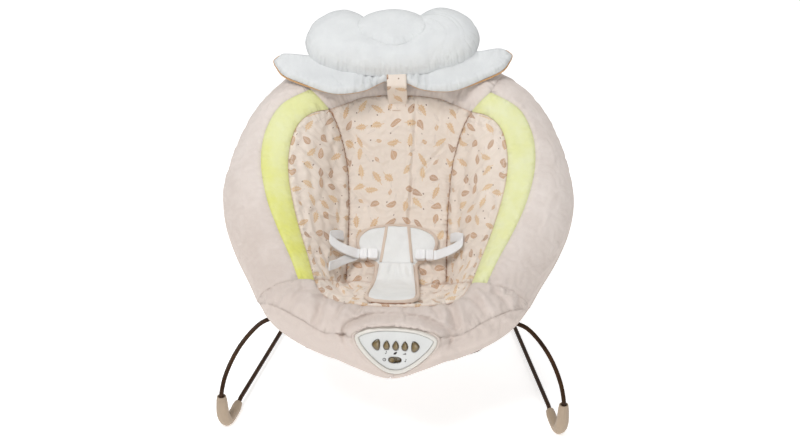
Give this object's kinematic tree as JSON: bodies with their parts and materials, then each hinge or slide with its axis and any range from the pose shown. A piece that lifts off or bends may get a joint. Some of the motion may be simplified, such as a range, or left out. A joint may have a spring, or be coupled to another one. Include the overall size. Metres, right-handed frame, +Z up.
{
  "type": "baby rocker",
  "caption": "Baby rocker with a padded bucket seat on a springy bent-rod frame, waist harness, crotch pad, flip-up head support and a music and vibration unit.",
  "frame": {"origin": "centre of the bounding box in plan, on the floor under the feet", "axes": "+Z up, -Y towards the front where the control unit is, +X to the right as seen from the front"},
  "size_m": [0.5444, 0.5852, 0.5506],
  "materials": {
    "velour_beige": "short-pile velour",
    "velour_lime": "short-pile velour",
    "cream_print": "printed woven cotton",
    "white_fleece": "soft fleece",
    "lining": "plain woven lining",
    "white_webbing": "woven webbing",
    "brown_steel": "satin paint",
    "taupe_plastic": "satin",
    "rubber": "matt",
    "white_plastic": "satin",
    "cream_plastic": "satin",
    "face_plastic": "satin",
    "olive_button": "gloss",
    "dark_plastic": "matt",
    "circuit_board": "satin",
    "cell_sleeve": "satin",
    "bright_steel": "brushed"
  },
  "bodies": {
    "base": {"front_foot_left": "taupe_plastic", "front_foot_right": "taupe_plastic", "floor_rod_left": "brown_steel", "floor_rod_right": "brown_steel", "rod_coupling_left": "taupe_plastic", "rod_coupling_right": "taupe_plastic", "rear_hoop": "brown_steel", "rear_foot_left": "rubber", "rear_foot_right": "rubber"},
    "seat": {"bolster_left": "velour_beige", "bolster_right": "velour_beige", "front_panel": "velour_beige", "front_skirt_left": "velour_beige", "front_skirt_right": "velour_beige", "top_band": "velour_beige", "stripe_left": "velour_lime", "stripe_right": "velour_lime", "back_panel": "cream_print", "seat_panel": "cream_print", "side_panel_left": "cream_print", "side_panel_right": "cream_print", "head_strap": "cream_print", "crotch_pad": "white_fleece", "rear_cover": "lining", "loop_sleeve_left": "lining", "loop_sleeve_right": "lining", "loop_sleeve_top": "lining", "waist_strap_left": "white_webbing", "waist_strap_right": "white_webbing", "leg_rod_left": "brown_steel", "leg_rod_right": "brown_steel", "seat_loop": "brown_steel", "back_loop": "brown_steel", "side_hub_left": "taupe_plastic", "side_hub_right": "taupe_plastic", "unit_housing": "taupe_plastic", "unit_clip_left": "taupe_plastic", "unit_clip_right": "taupe_plastic", "buckle_left": "white_plastic", "buckle_right": "white_plastic", "unit_bezel": "cream_plastic", "unit_face": "face_plastic", "speaker": "dark_plastic", "circuit_board": "circuit_board", "cell_upper": "cell_sleeve", "cell_lower": "cell_sleeve", "vibration_motor": "bright_steel"},
    "head_support": {"head_wing_pad": "white_fleece", "head_bolster": "white_fleece", "head_centre_pad": "white_fleece"},
    "slide_switch": {"slide_switch": "olive_button"},
    "battery_door": {"battery_door": "taupe_plastic"},
    "eccentric_weight": {"eccentric_weight": "bright_steel"},
    "tongue_left": {"tongue_left": "white_plastic"},
    "tongue_right": {"tongue_right": "white_plastic"},
    "button_previous": {"button_previous": "olive_button"},
    "button_music": {"button_music": "olive_button"},
    "button_nature": {"button_nature": "olive_button"},
    "button_volume": {"button_volume": "olive_button"},
    "button_next": {"button_next": "olive_button"}
  },
  "joints": [
    {"name": "bounce", "type": "hinge", "parent": "base", "child": "seat", "pos_m": [0, -0.2094, 0.046], "axis": [1, 0, 0], "range_deg": [-7, 2], "stiffness_Nm_per_rad": 100, "springref_deg": 2.58},
    {"name": "head_flip", "type": "hinge", "parent": "seat", "child": "head_support", "pos_m": [0, 0.08082, 0.45237], "axis": [1, 0, 0], "range_deg": [0, 80], "deforming": ["head_strap"]},
    {"name": "tongue_left_release", "type": "slide", "parent": "seat", "child": "tongue_left", "axis": [-1, 0, 0], "range_m": [0, 0.015], "deforming": ["waist_strap_left"]},
    {"name": "tongue_right_release", "type": "slide", "parent": "seat", "child": "tongue_right", "axis": [1, 0, 0], "range_m": [0, 0.015], "deforming": ["waist_strap_right"]},
    {"name": "button_previous_press", "type": "slide", "parent": "seat", "child": "button_previous", "axis": [0, 0.9354, -0.3535], "range_m": [0, 0.0015], "stiffness_N_per_m": 400},
    {"name": "button_music_press", "type": "slide", "parent": "seat", "child": "button_music", "axis": [0, 0.9354, -0.3535], "range_m": [0, 0.0015], "stiffness_N_per_m": 400},
    {"name": "button_nature_press", "type": "slide", "parent": "seat", "child": "button_nature", "axis": [0, 0.9354, -0.3535], "range_m": [0, 0.0015], "stiffness_N_per_m": 400},
    {"name": "button_volume_press", "type": "slide", "parent": "seat", "child": "button_volume", "axis": [0, 0.9354, -0.3535], "range_m": [0, 0.0015], "stiffness_N_per_m": 400},
    {"name": "button_next_press", "type": "slide", "parent": "seat", "child": "button_next", "axis": [0, 0.9354, -0.3535], "range_m": [0, 0.0015], "stiffness_N_per_m": 400},
    {"name": "switch_slide", "type": "slide", "parent": "seat", "child": "slide_switch", "axis": [0.9993, -0.0136, -0.0359], "range_m": [0, 0.009]},
    {"name": "battery_door_off", "type": "slide", "parent": "seat", "child": "battery_door", "axis": [0, 0.9354, -0.3535], "range_m": [0, 0.012]},
    {"name": "motor_spin", "type": "hinge", "parent": "seat", "child": "eccentric_weight", "pos_m": [0.03921, -0.24259, 0.18694], "axis": [0.9993, -0.0136, -0.0359], "continuous": true}
  ]
}
